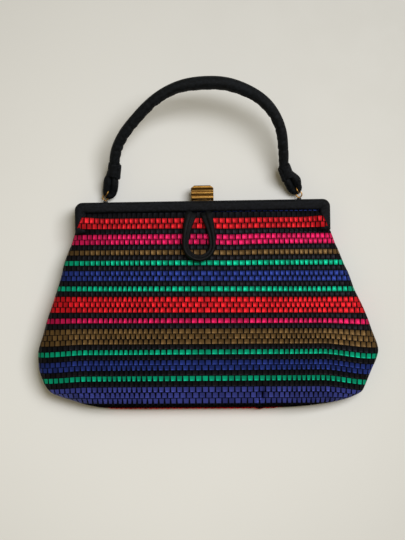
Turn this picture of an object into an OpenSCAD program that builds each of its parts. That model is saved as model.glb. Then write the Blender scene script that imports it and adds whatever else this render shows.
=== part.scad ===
// Framed handbag woven in ribbon stripes, lying on its back
// X runs across the bag, Y towards the handle, Z up from the back panel

/* [Bag] */
// Height from the top edge of the frame to the base
bag_h = 178; // [165:1:195]
// Width across the fullest place
bag_w = 292; // [270:1:320]
// Depth of the bag as it lies, back to front
bag_d = 34; // [28:1:60]
// Width of the straight part of the base edge
base_w = 154; // [130:1:175]
// Sideways slump of the fullest place
slump = 3.6; // [0:0.2:6]
// Thickness of the woven wall
wall_t = 1.6; // [1.2:0.1:2.2]
// Height of a woven ribbon above the wall
ribbon_t = 0.7; // [0.4:0.1:1]
// Thickness of the lining
lining_t = 0.8; // [0.5:0.1:1.2]

/* [Frame] */
// Width over the covered frame
frame_w = 219; // [205:1:230]
// Height of the covered bar
bar_h = 9; // [8:0.25:10.5]
// Depth of one half of the frame
half_d = 11.5; // [10.5:0.25:13]
// Drop from the top edge of the frame to the hinge rivets
hinge_drop = 28; // [26:0.5:32]
// Thickness of the fabric cover
cover_t = 0.9; // [0.6:0.1:1.2]
// Thickness of the steel channel
steel_t = 1; // [0.8:0.1:1.3]
// Rounding of the cover along its outer edge
edge_r = 3; // [2:0.25:4]
// Radius of the hinge rivets
rivet_r = 1.4; // [1:0.1:1.8]

/* [Clasp] */
// Width of the lever's tab
tab_w = 19.3; // [16:0.1:24]
// Height of the tab above its pin
tab_h = 11; // [9:0.25:13]
// Thickness of the tab
tab_t = 1; // [0.8:0.1:1.4]
// Radius of the beads across the tab
bead_r = 1; // [0.7:0.05:1.2]
// Radius of the clasp pin
pin_r = 0.7; // [0.5:0.05:0.9]

/* [Handle] */
// Distance from each end of the frame to the middle of a post
post_inset = 25.5; // [20:0.5:32]
// Height of the handle's centreline above the top edge of the frame
handle_rise = 106.2; // [90:0.5:120]
// Lean of the handle up from the table, in degrees
handle_lean = 22; // [0:1:35]
// Radius of the padded tube
handle_r = 5.05; // [4.5:0.05:5.6]
// Length of a keeper
keeper_l = 11.5; // [9:0.5:14]
// Distance from the ring to the middle of the keeper
loop_l = 16.5; // [14:0.5:19]
// Width of the folded end loop
loop_w = 12.6; // [11:0.2:14]
// Mean radius of a ring
ring_r = 3.4; // [3.2:0.05:3.6]
// Radius of the ring's wire
ring_wire_r = 0.6; // [0.5:0.05:0.65]
// Mean radius of an eye
eye_r = 2.45; // [2.35:0.05:2.7]
// Radius of the eye's wire
eye_wire_r = 0.55; // [0.45:0.05:0.6]
// Height of a post
post_h = 1.8; // [1.4:0.1:2.6]
// Radius of a post
post_r = 1.9; // [1.6:0.1:2.2]

/* [Pull loop] */
// Length of the pull loop below its top end
pull_l = 38; // [30:0.5:46]
// Width of the pull loop over its strands
pull_w = 26; // [22:0.5:32]
// Width of a strand at the bend
strand_w = 4.6; // [3.8:0.1:5.4]
// Width of a strand at its top end
strand_top_w = 8.4; // [7:0.1:9.4]

/* [Hidden] */
$fn = 48;

// Colours
black_cloth = [0.06, 0.06, 0.07];
black_weave = [0.1, 0.1, 0.11];
red_weave = [0.66, 0.12, 0.14];
pink_weave = [0.76, 0.13, 0.32];
ochre_weave = [0.4, 0.31, 0.17];
green_weave = [0.04, 0.52, 0.39];
blue_weave = [0.18, 0.22, 0.45];
brass = [0.68, 0.5, 0.25];
steel = [0.55, 0.55, 0.57];

// Clearances
overrun = 1;
fit = 0.3;
slide = 0.06;
seat = 0.02;
lift = 0.3;
part_gap = 0.2;
ribbon_fit = 0.05;

// Rows of the weave below the frame, counted from the top, and where the stripes start
rows = 37;
base_row_share = 0.4;
black_rows = [0, 3, 6, 8, 10, 13, 15, 19, 21, 25, 27, 30, 32, 36];
red_bands = [[1, 2], [16, 3]];
pink_bands = [[4, 2], [20, 1]];
ochre_bands = [[7, 1], [22, 3]];
green_bands = [[9, 1], [14, 1], [26, 1], [31, 1]];
blue_bands = [[11, 2], [28, 2], [33, 3]];
origin_row = 19;
row_h = (bag_h - bar_h) / (rows + base_row_share);
bevel_share = 0.2;
valley_share = 0.45;
row_bevel = row_h * bevel_share;

// Levels: the frame's top edge, its hinge line and its parting plane
y_top = bar_h + (origin_row + 1 / 2) * row_h;
y_hinge = y_top - hinge_drop;
z_part = lift + half_d + part_gap / 2;

// Frame section and hinge lugs
lip_over = 2.5;
lip_r = 0.8;
corner_in = 1;
arm_stop = 6.5;
lug_r = 4.2;
lug_t = 1.6;
lug_gap = 0.25;
lug_in = 8;
lug_w = 3;
head_r = 2.4;
head_t = 0.8;
lug_x = frame_w / 2 - cover_t - steel_t - lug_t;
rear_lug_x = lug_x - lug_gap - lug_t;

// Seat of the panel behind the frame's lip, and the rim that clears the opening half
seat_b = half_d - 2 * cover_t - steel_t - fit;
rim_reach = hinge_drop - bar_h + lip_over - fit;
rim_drop = hinge_drop - sqrt(rim_reach * rim_reach - seat_b * seat_b);
lip_gap = 0.8;
mouth_hw = frame_w / 2 - bar_h + lip_over - fit - ribbon_t - row_bevel / 8;
shoulder_drop = hinge_drop + lug_r + lip_gap;
shoulder_h = 4;
shoulder_hw = frame_w / 2 + 2 * cover_t;

// Outline of the bag: fullest place, flare above it and tuck below it
fullest_share = 0.72;
fullest = bag_h * fullest_share;
flare_shares = [[0, 0], [0.15, 0.19], [0.35, 0.385], [0.55, 0.595], [0.75, 0.785],
    [0.9, 0.93], [1, 1]];
tuck_shares = [[0, 1], [0.17, 0.98], [0.34, 0.935], [0.52, 0.89], [0.68, 0.83],
    [0.775, 0.74], [0.865, 0.55], [0.945, 0.28], [1, 0]];
bulge_shares = [[0, 0], [0.1, 0.058], [0.2, 0.29], [0.3, 0.5], [0.4, 0.67], [0.5, 0.81],
    [0.6, 0.92], [0.7, 0.985], [0.77, 1], [0.83, 0.96], [0.88, 0.84], [0.92, 0.64],
    [0.95, 0.44], [0.975, 0.19], [1, -0.25]];
settle_shares = [[0, 1], [0.07, 0.9], [0.14, 0.4], [0.2, 0], [1, 0]];
base_lift_shares = [[0, 0], [0.93, 0], [0.965, 0.03], [0.985, 0.09], [1, 0.2]];
slump_shares = [[0, 0], [0.22, 0], [0.5, 0.5], [0.67, 1], [0.74, 0.85], [0.8, 0.5],
    [0.9, 0.3], [1, 0.3]];
side_share = 0.5;
turn_x_share = 0.42;
turn_front_share = 0.65;
turn_back_share = 0.5;
back_flat_share = 1.1;
sides = 28;
inner_shares = [1, 0.985, 0.965, 0.93, 0.88, 0.8, 0.7, 0.6, 0.5, 0.4, 0.3];
rim_shares = [1, 0.8, 0.6, 0.4, 0.2, 0];
lining_fit = 0.15;

// Clasp, placed on the rear half behind the parting plane
plate_t = 0.9;
plate_d = 6.5;
ear_t = 1.9;
barrel_r = 1.5;
clasp_back = 4;
catch_t = 0.5;
catch_w = 13;
catch_d = 5;
catch_bead_r = 0.45;
nose_w = 8;
nose_t = 0.7;
nose_reach = 3.2;
chamfer_x = 2.9;
chamfer_y = 2.4;
flange_h = 3.2;
flange_tilt = 18;
low_bead_share = 0.07;
high_bead_share = 0.36;
high_bead_r_share = 0.8;
pin_y = y_top + plate_t + barrel_r + fit;
pin_z = z_part - clasp_back;
tab_z = barrel_r + slide;

// Posts, eyes and rings: the handle turns about the top wire of the eyes
post_span = frame_w - 2 * post_inset;
z_eye = handle_r + fit / 2;
eye_y = y_top + post_h + eye_wire_r + eye_r;
pivot_y = eye_y + eye_r;
ring_drop = ring_wire_r + eye_wire_r + fit * 4 / 3;
left_lean = 26;
right_lean = -24;
shank_r = 0.6;
left_post = [-post_span / 2, pivot_y, z_eye];
right_post = [post_span / 2, pivot_y, z_eye];
left_hole = ring_far(left_post, left_lean);
right_hole = ring_far(right_post, right_lean);

// Handle: end directions, end sizes and the arch between the keepers
left_tilt = 14;
right_tilt = -31;
handle_shares = [[-0.446, 0.44], [-0.425, 0.525], [-0.39, 0.615], [-0.345, 0.7],
    [-0.285, 0.8], [-0.212, 0.9], [-0.13, 0.965], [-0.045, 0.993], [0.05, 1],
    [0.13, 0.985], [0.215, 0.935], [0.29, 0.86], [0.345, 0.765], [0.38, 0.66],
    [0.398, 0.55], [0.404, 0.455], [0.408, 0.37]];
handle_end_share = 0.74;
handle_steps = 2;
keeper_t = 0.8;
keeper_half_w = 5.6;
keeper_half_z = 4.8;
strap_z = 3.2;
pinch_z = 1.9;
strap_bend_r = 1.5;
hole_r = ring_wire_r + fit;
loop_bulge_shares = [[0, 0.72], [0.35, 0.8], [0.7, 1], [1, 0.75]];

// Pull loop, lying on the front panel
pull_side = -2.4;
pull_top_drop = 11.6;
pull_gap = 5;
strand_t = 4.4;
strand_top_t = 2.2;
bend_share = 0.3;

// Value of a table of places at t, on a smooth curve through its points
function pick(tab, i) = tab[max(0, min(len(tab) - 1, i))];
function span_of(tab, t, i = 0) = i >= len(tab) - 2 || t < tab[i + 1][0] ? i : span_of(tab, t, i + 1);
function rate(tab, i) =
    (pick(tab, i + 1)[1] - pick(tab, i - 1)[1]) / (pick(tab, i + 1)[0] - pick(tab, i - 1)[0]);
function curve(tab, t) =
    let (i = span_of(tab, t), a = tab[i], b = tab[i + 1], w = b[0] - a[0],
        u = max(0, min(1, (t - a[0]) / w)))
    a[1] * (2 * u * u * u - 3 * u * u + 1) + rate(tab, i) * w * (u * u * u - 2 * u * u + u)
    + b[1] * (3 * u * u - 2 * u * u * u) + rate(tab, i + 1) * w * (u * u * u - u * u);

// Outline of the wall at a drop below the frame's top edge
function down(d) = max(0, min(1, (d - bar_h) / (bag_h - bar_h)));
function flare_hw(d) = shoulder_hw + (bag_w / 2 - shoulder_hw)
    * curve(flare_shares, (d - shoulder_drop - shoulder_h) / (fullest - shoulder_drop - shoulder_h));
function shoulder(d) = mouth_hw + (shoulder_hw - mouth_hw) * (d - shoulder_drop) / shoulder_h;
function tuck_hw(d) = base_w / 2 + (bag_w - base_w) / 2
    * curve(tuck_shares, (d - fullest) / (bag_h - fullest));
function half_w(d) = d < shoulder_drop ? mouth_hw
    : d < shoulder_drop + shoulder_h ? shoulder(d)
    : d < fullest ? flare_hw(d) : tuck_hw(d);
function front_z(d) = z_part + seat_b
    + (bag_d - ribbon_t - z_part - seat_b) * curve(bulge_shares, down(d));
function back_z(d) = ribbon_t + (z_part - seat_b - ribbon_t) * max(0, curve(settle_shares, down(d)))
    + bag_d * max(0, curve(base_lift_shares, down(d)));
function centre_x(d) = slump * curve(slump_shares, down(d));

// Closed ring round the wall at drop d, off outwards from the wall's outside
function shape_drop(d, off) = d < fullest ? d + off
    : d - off * pow((d - fullest) / (bag_h + min(0, off) - fullest), 2);
function ring_at(d, off) =
    let (s = shape_drop(d, off), hw = half_w(s) + off, f = front_z(s) + off,
        b = back_z(s) - off, m = b + (f - b) * side_share, cx = centre_x(d))
    [for (i = [0:sides - 1]) let (a = 360 * i / sides, c = cos(a), q = sin(a))
        [cx + hw * sign(c) * pow(abs(c), turn_x_share), y_top - d,
            q >= 0 ? m + (f - m) * pow(q, turn_front_share)
                : max(b, m - (m - b) * back_flat_share * pow(-q, turn_back_share))]];

// Height of the front panel's outside at x and drop d
function panel_z(x, d) =
    let (f = front_z(d), b = back_z(d), m = b + (f - b) * side_share,
        c = pow(min(1, abs(x - centre_x(d)) / half_w(d)), 1 / turn_x_share))
    m + (f - m) * pow(sqrt(1 - c * c), turn_front_share);

// Surface through rings of equal length: wrap joins the last to the first, cap closes after ring k
module skin(rings, wrap = false, cap = -1) {
    n = len(rings);
    m = len(rings[0]);
    last = wrap ? n - 1 : n - 2;
    quads = [for (i = [0:last]) if (i != cap) for (j = [0:m - 1])
        let (a = i * m + j, b = i * m + (j + 1) % m, c = (i + 1) % n * m + (j + 1) % m,
            d = (i + 1) % n * m + j) each [[a, b, c], [a, c, d]]];
    ends = wrap
        ? (cap < 0 ? [] : [[for (j = [0:m - 1]) cap * m + j], [for (j = [0:m - 1]) (cap + 1) * m + m - 1 - j]])
        : [[for (j = [0:m - 1]) m - 1 - j], [for (j = [0:m - 1]) (n - 1) * m + j]];
    turned = [for (f = concat(quads, ends)) [for (k = [len(f) - 1:-1:0]) f[k]]];
    polyhedron([for (r = rings) each r], turned);
}

// Smooth path through chosen points
function knot(p, i, u) =
    let (a = pick(p, i - 1), b = p[i], c = p[i + 1], d = pick(p, i + 2))
    (2 * b + (c - a) * u + (2 * a - 5 * b + 4 * c - d) * u * u
        + (3 * b - a - 3 * c + d) * u * u * u) / 2;
function smooth(p, steps) = concat([for (i = [0:len(p) - 2]) for (k = [0:steps - 1]) knot(p, i, k / steps)],
    [p[len(p) - 1]]);
function along(p, i) = let (v = pick(p, i + 1) - pick(p, i - 1)) v / norm(v);

// Oval tube along a path, with a half width and a half height at each point
module tube(path, wide, high, around) {
    skin([for (i = [0:len(path) - 1])
        let (t = along(path, i), s = cross(t, [0, 0, 1]), e = s / norm(s), u = cross(e, t))
        [for (j = [0:around - 1]) let (a = 360 * j / around)
            path[i] + e * wide[i] * cos(a) + u * high[i] * sin(a)]]);
}

// Woven wall
function row_drop(k) = bar_h + k * row_h;
function ridge(k) = let (top = row_drop(k) + (k == 0 ? lip_gap : 0))
    [[top, 0], [top + row_bevel, ribbon_t], [row_drop(k + 1) - row_bevel, ribbon_t],
        [row_drop(k + 1), 0]];
function is_black(k) = len(search(k, black_rows)) > 0;
wall_out = concat([[rim_drop, 0]],
    [for (k = [0:rows - 1]) each is_black(k) ? ridge(k)
        : is_black(k + 1) ? [] : [[row_drop(k + 1), 0]]],
    [[bag_h, 0]]);
function shell_in(off, rim) = concat([for (s = inner_shares) [(bag_h + off) * s, off]],
    [[shoulder_drop + shoulder_h - off, off]],
    [for (s = rim_shares) [rim + (shoulder_drop - off - rim) * s, off]]);

module woven_body() color(black_weave) {
    profile = concat(wall_out, shell_in(-wall_t, rim_drop));
    skin([for (p = profile) ring_at(p[0], p[1])], true, len(wall_out) - 1);
}

// Ribbon rows lie in the grounds between the black rows
function band_out(k, n) = concat([[row_drop(k) + ribbon_fit, ribbon_fit]],
    [for (i = [k:k + n - 1]) each concat(
        [[row_drop(i) + row_bevel, ribbon_t], [row_drop(i + 1) - row_bevel, ribbon_t]],
        i < k + n - 1 ? [[row_drop(i + 1), ribbon_t * valley_share]] : [])],
    [[row_drop(k + n) - ribbon_fit, ribbon_fit]],
    [for (i = [1:1:n - 1]) [row_drop(k + n - i), ribbon_fit]]);
module bands(list) {
    for (b = list) skin([for (p = band_out(b[0], b[1])) ring_at(p[0], p[1])], true);
}
module red_ribbons() color(red_weave) bands(red_bands);
module pink_ribbons() color(pink_weave) bands(pink_bands);
module ochre_ribbons() color(ochre_weave) bands(ochre_bands);
module green_ribbons() color(green_weave) bands(green_bands);
module blue_ribbons() color(blue_weave) bands(blue_bands);

// Lining, a plain bag inside the woven wall
module lining() color(black_cloth) {
    out_off = -wall_t - lining_fit;
    in_off = out_off - lining_t;
    rim = rim_drop + lining_t;
    outer = shell_in(out_off, rim);
    profile = concat([for (i = [len(outer) - 1:-1:0]) outer[i]], shell_in(in_off, rim));
    skin([for (p = profile) ring_at(p[0], p[1])], true, len(outer) - 1);
}

// Square with rounded corners: outer front, inner front and outer back
module spandrel(r) difference() {
    square(r);
    translate([r, r]) circle(r);
}
module soft_rect(w, h, r_out, r_in, r_part) difference() {
    square([w, h]);
    translate([w, h]) rotate(180) spandrel(r_out);
    if (r_in > 0) translate([0, h]) rotate(-90) spandrel(r_in);
    if (r_part > 0) translate([w, 0]) rotate(90) spandrel(r_part);
}

// Section of the frame, measured outwards from the lip and forwards from the parting face
module core_section() translate([cover_t, cover_t])
    soft_rect(bar_h - 2 * cover_t, half_d - 2 * cover_t, edge_r - cover_t, 0, 0);
module cover_section() difference() {
    soft_rect(bar_h, half_d, edge_r, lip_r, lip_r);
    core_section();
    translate([-overrun, -overrun])
        square([lip_over + overrun, half_d - 2 * cover_t - steel_t + overrun]);
}
module steel_section() difference() {
    core_section();
    translate([-overrun, cover_t + steel_t])
        square([bar_h - cover_t - steel_t + overrun, half_d - 2 * cover_t - 2 * steel_t]);
    translate([-overrun, -overrun])
        square([lip_over + overrun, cover_t + 2 * steel_t + overrun]);
}

// Bar, two rounded corners and two arms of one section
bar_half = frame_w / 2 - bar_h - corner_in;
bar_in_y = y_top - bar_h;
arm_l = bar_in_y - corner_in - y_hinge - arm_stop;
module frame_sweep() {
    translate([-bar_half, bar_in_y, 0]) rotate([90, 0, 90]) linear_extrude(2 * bar_half) children();
    for (side = [0, 1]) mirror([side, 0, 0]) {
        translate([bar_half, bar_in_y - corner_in, 0])
            rotate_extrude(angle = 90) translate([corner_in, 0]) children();
        translate([bar_half + corner_in, bar_in_y - corner_in, 0])
            rotate([90, 0, 0]) linear_extrude(arm_l) children();
    }
}

// Hinge lug: a disc on the hinge line and a strip up into the arm
module lug(x, bore) translate([x, y_hinge, 0]) rotate([90, 0, 90]) linear_extrude(lug_t) difference() {
    union() {
        translate([0, -part_gap / 2]) circle(lug_r);
        translate([0, cover_t + steel_t / 2]) square([arm_stop + lug_in, lug_w]);
    }
    translate([0, -part_gap / 2]) circle(bore);
}
module steel_half(x, bore) {
    frame_sweep() steel_section();
    for (side = [0, 1]) mirror([side, 0, 0]) lug(x, bore);
}
module front_place() translate([0, 0, z_part + part_gap / 2]) children();
module rear_place() translate([0, 0, z_part - part_gap / 2]) mirror([0, 0, 1]) children();
module shank_holes() for (x = [-1, 1]) translate([x * post_span / 2, y_top + overrun, z_eye])
    rotate([90, 0, 0]) cylinder(r = shank_r + seat, h = cover_t + steel_t + 2 * overrun);

module rear_frame() color(steel) difference() {
    rear_place() steel_half(rear_lug_x, rivet_r + seat);
    shank_holes();
}
module rear_frame_cover() color(black_cloth) difference() {
    rear_place() frame_sweep() cover_section();
    shank_holes();
}
module front_frame() color(steel) front_place() steel_half(lug_x, rivet_r + slide);
module front_frame_cover() color(black_cloth) front_place() frame_sweep() cover_section();

// Rivet with two heads on each hinge line
module hinge_rivets() color(brass) for (side = [0, 1]) mirror([side, 0, 0])
    translate([rear_lug_x, y_hinge, z_part]) rotate([0, 90, 0]) {
        translate([0, 0, -head_t]) cylinder(r = rivet_r, h = 2 * lug_t + lug_gap + slide + 2 * head_t);
        translate([0, 0, -head_t - seat]) cylinder(r = head_r, h = head_t);
        translate([0, 0, 2 * lug_t + lug_gap + slide]) cylinder(r = head_r, h = head_t);
    }

// Clasp plate with two ears, seated on the rear half
module ear(x) translate([x, y_top + plate_t / 2, pin_z]) rotate([90, 0, 90]) linear_extrude(ear_t) difference() {
    union() {
        translate([pin_y - y_top - plate_t / 2, 0]) circle(barrel_r);
        translate([0, -barrel_r]) square([pin_y - y_top - plate_t / 2, 2 * barrel_r]);
    }
    translate([pin_y - y_top - plate_t / 2, 0]) circle(pin_r + seat);
}
module clasp_plate() color(brass) {
    translate([-tab_w / 2, y_top, pin_z - plate_d / 2]) cube([tab_w, plate_t, plate_d]);
    ear(tab_w / 2 - ear_t);
    ear(-tab_w / 2);
}
module clasp_pin() color(brass) translate([-tab_w / 2, pin_y, pin_z]) rotate([0, 90, 0])
    cylinder(r = pin_r, h = tab_w);

// Lever: barrel on the pin, nose over the catch, fluted tab with a tilted flange
barrel_l = tab_w - 2 * ear_t - 2 * fit;
low_bead = tab_h * low_bead_share;
high_bead = tab_h * high_bead_share;
flange_y = tab_h - flange_h;
nose_y = y_top + max(plate_t, catch_t) + fit - pin_y;
module flange_outline() polygon([[-tab_w / 2, 0], [tab_w / 2, 0], [tab_w / 2, flange_h - chamfer_y],
    [tab_w / 2 - chamfer_x, flange_h], [chamfer_x - tab_w / 2, flange_h], [-tab_w / 2, flange_h - chamfer_y]]);
module bead(y, r) translate([-tab_w / 2, y, tab_z + tab_t]) rotate([0, 90, 0]) cylinder(r = r, h = tab_w);
module clasp_lever() color(brass) translate([0, pin_y, pin_z]) difference() {
    union() {
        translate([-barrel_l / 2, 0, 0]) rotate([0, 90, 0]) cylinder(r = barrel_r, h = barrel_l);
        translate([-barrel_l / 2, 0, 0]) cube([barrel_l, low_bead, tab_z + tab_t / 2]);
        translate([-nose_w / 2, nose_y, 0])
            cube([nose_w, nose_t, clasp_back + part_gap / 2 + nose_reach]);
        translate([-nose_w / 2, nose_y, 0]) cube([nose_w, -nose_y, pin_r + slide + nose_t]);
        translate([-tab_w / 2, low_bead - bead_r, tab_z])
            cube([tab_w, flange_y - low_bead + bead_r, tab_t]);
        bead(low_bead, bead_r);
        bead(high_bead, bead_r * high_bead_r_share);
        translate([0, flange_y, tab_z]) rotate([flange_tilt, 0, 0])
            linear_extrude(tab_t) flange_outline();
    }
    translate([-tab_w / 2 - overrun, 0, 0]) rotate([0, 90, 0])
        cylinder(r = pin_r + slide, h = tab_w + 2 * overrun);
}

// Catch plate and bead on the front half
module clasp_catch() color(brass) translate([0, y_top, z_part + part_gap / 2 + lip_r]) {
    translate([-catch_w / 2, 0, 0]) cube([catch_w, catch_t, catch_d]);
    translate([-catch_w / 2, catch_t, catch_d - catch_bead_r]) rotate([0, 90, 0])
        cylinder(r = catch_bead_r, h = catch_w);
}

// Posts and eyes on the rear half
module posts() color(black_cloth) for (x = [-1, 1]) translate([x * post_span / 2, y_top, z_eye])
    rotate([-90, 0, 0]) difference() {
        cylinder(r = post_r, h = post_h);
        translate([0, 0, -overrun]) cylinder(r = shank_r + seat, h = post_h + 2 * overrun);
    }
module wire_ring(r, wire) rotate_extrude() translate([r, 0]) circle(wire);
module eyes() color(brass) for (x = [-1, 1]) {
    translate([x * post_span / 2, eye_y, z_eye]) wire_ring(eye_r, eye_wire_r);
    translate([x * post_span / 2, eye_y - eye_r, z_eye]) rotate([90, 0, 0])
        cylinder(r = shank_r, h = eye_wire_r + post_h + cover_t + steel_t + steel_t / 2);
    translate([x * post_span / 2, y_top - cover_t - steel_t - seat, z_eye]) rotate([90, 0, 0])
        cylinder(r = shank_r + steel_t / 2, h = steel_t / 2);
}

// The handle and what hangs on it stand up from the table, turned about the eyes' top wire
module stood() translate([0, pivot_y, z_eye]) rotate([handle_lean, 0, 0])
    translate([0, -pivot_y, -z_eye]) children();

// Rings hang on the eyes, leaning towards the handle's ends
function lean_way(a) = [sin(a), cos(a), 0];
function ring_far(post, a) = post - [0, ring_drop, 0] + 2 * ring_r * lean_way(a);
module hung_ring(post, a) translate(post - [0, ring_drop, 0] + ring_r * lean_way(a))
    rotate([0, 0, -a]) rotate([0, 90, 0]) wire_ring(ring_r, ring_wire_r);
module left_ring() color(brass) stood() hung_ring(left_post, left_lean);
module right_ring() color(brass) stood() hung_ring(right_post, right_lean);

// Keepers: bands round the tube's end and the two legs of the end loop
module oval(w, h) {
    square([2 * (w - h), 2 * h], center = true);
    for (s = [-1, 1]) translate([s * (w - h), 0]) circle(h);
}
module keeper(hole, a) translate(hole + loop_l * lean_way(a)) rotate([0, 0, -a]) rotate([90, 0, 0])
    translate([0, 0, -keeper_l / 2]) linear_extrude(keeper_l) difference() {
        oval(keeper_half_w, keeper_half_z);
        oval(keeper_half_w - keeper_t, keeper_half_z - keeper_t);
    }
module left_keeper() color(black_cloth) stood() keeper(left_hole, left_tilt);
module right_keeper() color(black_cloth) stood() keeper(right_hole, right_tilt);

// Folded end loop: one strap down, round the ring and back up into the keeper
leg_in = keeper_half_w - keeper_t - seat;
leg_r = leg_in / 2 - seat;
bend_r = hole_r + strap_bend_r;
function side_of(a) = [cos(a), -sin(a), 0];
function loop_point(hole, a, u, v) = hole + u * side_of(a) + v * lean_way(a);
bow_x = loop_w / 2 - loop_w / 4;
function loop_path(hole, a) = [for (p = [
    [-leg_in / 2, loop_l - seat], [-leg_in / 2, loop_l - keeper_l / 2], [-bow_x, loop_l / 3],
    [-bend_r, 0], [-bend_r * sin(45), -bend_r * sin(45)], [0, -bend_r],
    [bend_r * sin(45), -bend_r * sin(45)], [bend_r, 0], [bow_x, loop_l / 3],
    [leg_in / 2, loop_l - keeper_l / 2], [leg_in / 2, loop_l - seat]]) loop_point(hole, a, p[0], p[1])];
loop_wide = [leg_r, leg_r, loop_w / 4 - fit, strap_bend_r, strap_bend_r, strap_bend_r, strap_bend_r,
    strap_bend_r, loop_w / 4 - fit, leg_r, leg_r];
loop_high = [strap_z, strap_z, strap_z, pinch_z, pinch_z, pinch_z, pinch_z, pinch_z, strap_z, strap_z,
    strap_z];
loop_steps = 2;
module end_loop(hole, a) tube(smooth(loop_path(hole, a), loop_steps), smooth(loop_wide, loop_steps),
    smooth(loop_high, loop_steps), 10);
module left_end_loop() color(black_cloth) stood() end_loop(left_hole, left_tilt);
module right_end_loop() color(black_cloth) stood() end_loop(right_hole, right_tilt);

// Handle: a padded tube that thins into the keepers
arch = [for (s = handle_shares) [s[0] * post_span, y_top + s[1] * handle_rise, z_eye]];
handle_points = concat(
    [loop_point(left_hole, left_tilt, 0, loop_l + seat),
        loop_point(left_hole, left_tilt, 0, loop_l + keeper_l / 4),
        loop_point(left_hole, left_tilt, 0, loop_l + keeper_l * 2 / 3)],
    arch,
    [loop_point(right_hole, right_tilt, 0, loop_l + keeper_l * 2 / 3),
        loop_point(right_hole, right_tilt, 0, loop_l + keeper_l / 4),
        loop_point(right_hole, right_tilt, 0, loop_l + seat)]);
handle_end_r = min(keeper_half_z - keeper_t - seat, handle_r * handle_end_share);
handle_radii = concat([handle_end_r, handle_end_r, handle_end_r], [for (p = arch) handle_r],
    [handle_end_r, handle_end_r, handle_end_r]);
module handle() color(black_cloth) stood() tube(smooth(handle_points, handle_steps),
    smooth(handle_radii, handle_steps), smooth(handle_radii, handle_steps), 12);

// Pull loop: a teardrop of strap that lies on the front panel
pull_bend = pull_w / 2 - strand_w / 2;
pull_bend_drop = pull_top_drop + pull_l - pull_bend - strand_w / 2;
pull_top_x = pull_gap / 2 + strand_top_w / 2;
function strand_share(d) = max(0, min(1, (d - pull_top_drop) / (pull_bend_drop - pull_top_drop)));
function strand_half_w(d) = (strand_top_w + (strand_w - strand_top_w) * strand_share(d)) / 2;
function strand_half_t(d) = (strand_top_t + (strand_t - strand_top_t) * strand_share(d)) / 2;
function pull_side_x(d) = pull_top_x + (pull_bend - pull_top_x) * sin(90 * strand_share(d));
pull_leg = [for (s = [0:0.2:0.8]) let (d = pull_top_drop + (pull_bend_drop - pull_top_drop) * s)
    [pull_side_x(d), d]];
pull_round = [for (a = [0:22.5:180]) [pull_bend * cos(a), pull_bend_drop + pull_bend * sin(a)]];
pull_flat = concat(pull_leg, pull_round, [for (i = [len(pull_leg) - 1:-1:0]) [-pull_leg[i][0], pull_leg[i][1]]]);
module pull_loop() color(black_cloth) tube(
    [for (p = pull_flat) [pull_side + p[0], y_top - p[1],
        panel_z(pull_side + p[0], p[1]) + ribbon_t + fit + strand_half_t(p[1])]],
    [for (p = pull_flat) strand_half_w(p[1])], [for (p = pull_flat) strand_half_t(p[1])], 10);

woven_body();
red_ribbons();
pink_ribbons();
ochre_ribbons();
green_ribbons();
blue_ribbons();
lining();
rear_frame();
rear_frame_cover();
hinge_rivets();
clasp_plate();
clasp_pin();
posts();
eyes();
pull_loop();
front_frame();
front_frame_cover();
clasp_catch();
clasp_lever();
handle();
left_keeper();
right_keeper();
left_end_loop();
right_end_loop();
left_ring();
right_ring();
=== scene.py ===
import bpy
import numpy as np
from mathutils import Matrix, Vector


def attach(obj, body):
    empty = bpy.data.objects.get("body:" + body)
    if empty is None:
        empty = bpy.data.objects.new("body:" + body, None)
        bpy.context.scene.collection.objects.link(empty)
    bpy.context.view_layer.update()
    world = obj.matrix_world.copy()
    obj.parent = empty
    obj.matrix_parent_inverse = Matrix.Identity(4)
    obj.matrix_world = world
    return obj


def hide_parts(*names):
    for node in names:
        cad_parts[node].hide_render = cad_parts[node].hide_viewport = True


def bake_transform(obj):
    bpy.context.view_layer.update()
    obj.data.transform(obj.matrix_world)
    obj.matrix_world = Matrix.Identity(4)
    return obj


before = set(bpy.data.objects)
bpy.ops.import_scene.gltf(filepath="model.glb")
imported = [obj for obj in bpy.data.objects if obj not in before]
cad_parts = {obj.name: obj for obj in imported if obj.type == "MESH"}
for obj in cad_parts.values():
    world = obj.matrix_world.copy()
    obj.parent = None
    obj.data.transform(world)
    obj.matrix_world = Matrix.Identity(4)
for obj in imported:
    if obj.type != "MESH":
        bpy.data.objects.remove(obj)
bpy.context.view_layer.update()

# Frame: two bent steel channels, riveted together at the ends of their arms.
# Each half is rolled from thin sheet and painted dark grey before it is covered.
# The solids have the right shape, so they keep it and only take the finish.
mm = 0.001


def linear(red, green, blue):
    """A colour, read 0 to 255 a channel, as the linear light that a shader takes."""
    c = np.array([red, green, blue]) / 255
    return (*np.where(c < 0.04045, c / 12.92, ((c + 0.055) / 1.055) ** 2.4), 1.0)


def finish(name, **fixed):
    """A new material with one principled shader; fixed values go straight on the shader's sockets."""
    made = bpy.data.materials.new(name)
    made.use_nodes = True
    shader = made.node_tree.nodes["Principled BSDF"]
    for socket, value in fixed.items():
        shader.inputs[socket.replace("_", " ")].default_value = value
    return made, made.node_tree, shader


def add(tree, kind, feeds=(), **settings):
    """One shader node: settings are its own choices.
    Each feed is a fixed value, or the socket that drives it."""
    made = tree.nodes.new(kind)
    for key, value in settings.items():
        setattr(made, key, value)
    for key, value in dict(feeds).items():
        if isinstance(value, bpy.types.NodeSocket):
            tree.links.new(value, made.inputs[key])
        else:
            made.inputs[key].default_value = value
    return made


def reckon(tree, operation, *terms):
    """The result socket of one sum of the shader: each term is a number or a socket."""
    return add(tree, "ShaderNodeMath", dict(enumerate(terms)), operation=operation).outputs[0]


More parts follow.
